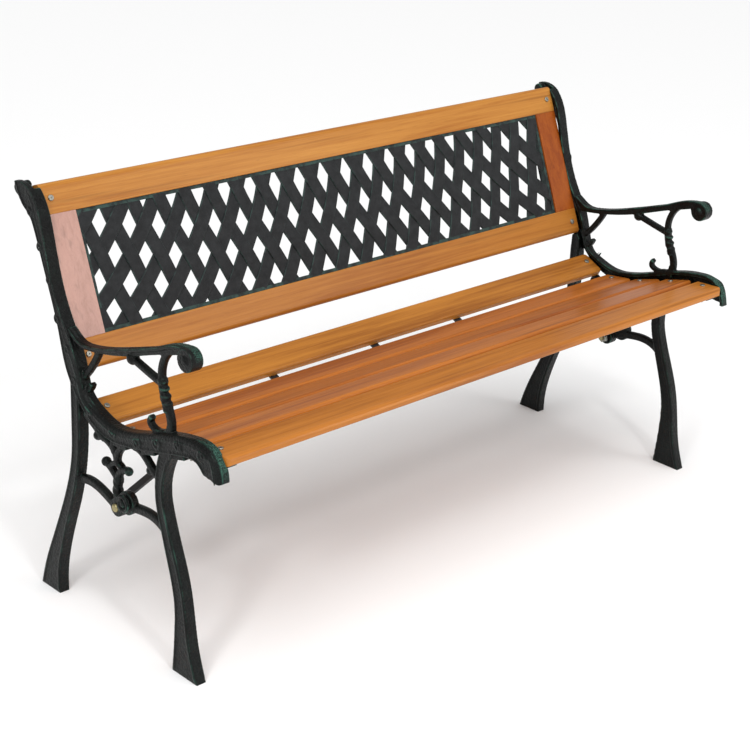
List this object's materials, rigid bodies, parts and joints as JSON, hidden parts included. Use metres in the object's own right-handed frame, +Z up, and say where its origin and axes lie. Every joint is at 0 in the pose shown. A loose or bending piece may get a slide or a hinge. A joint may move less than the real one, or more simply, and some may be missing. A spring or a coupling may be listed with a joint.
{
  "type": "garden bench",
  "caption": "Slatted wooden seat and lattice-filled wooden back held between two scrollwork cast side frames with curved armrests.",
  "frame": {"origin": "middle of the bench's bounding box, at ground level", "axes": "+X along the bench towards its right-hand side frame, +Y to the back, +Z up; the front of the seat faces -Y"},
  "size_m": [1.22, 0.4981, 0.6868],
  "materials": {
    "cast_iron": "near-black paint with verdigris rubbed over the raised relief",
    "varnished_wood": "orange-brown gloss varnish",
    "lattice_plastic": "moulded, fine grain",
    "black_steel": "black paint",
    "zinc": "bright zinc",
    "brass": "brassed"
  },
  "bodies": {
    "root": {"left_side_frame": "cast_iron", "right_side_frame": "cast_iron", "seat_slat_1": "varnished_wood", "seat_slat_2": "varnished_wood", "seat_slat_3": "varnished_wood", "seat_slat_4": "varnished_wood", "seat_slat_5": "varnished_wood", "back_top_rail": "varnished_wood", "back_bottom_rail": "varnished_wood", "back_stile_left": "varnished_wood", "back_stile_right": "varnished_wood", "lattice_panel": "lattice_plastic", "seat_strap_left": "black_steel", "seat_strap_centre": "black_steel", "seat_strap_right": "black_steel", "brace_left": "black_steel", "brace_right": "black_steel", "seat_bolts_left": "zinc", "seat_washers_left": "zinc", "seat_nuts_left": "zinc", "back_bolts_left": "zinc", "back_washers_left": "zinc", "back_nuts_left": "zinc", "seat_bolts_right": "zinc", "seat_washers_right": "zinc", "seat_nuts_right": "zinc", "back_bolts_right": "zinc", "back_washers_right": "zinc", "back_nuts_right": "zinc", "hub_nut_left": "zinc", "hub_nut_right": "zinc", "strap_screws": "zinc", "brace_screws": "zinc", "lattice_screws": "zinc", "hub_bolt_left": "brass", "hub_bolt_right": "brass"}
  },
  "joints": []
}
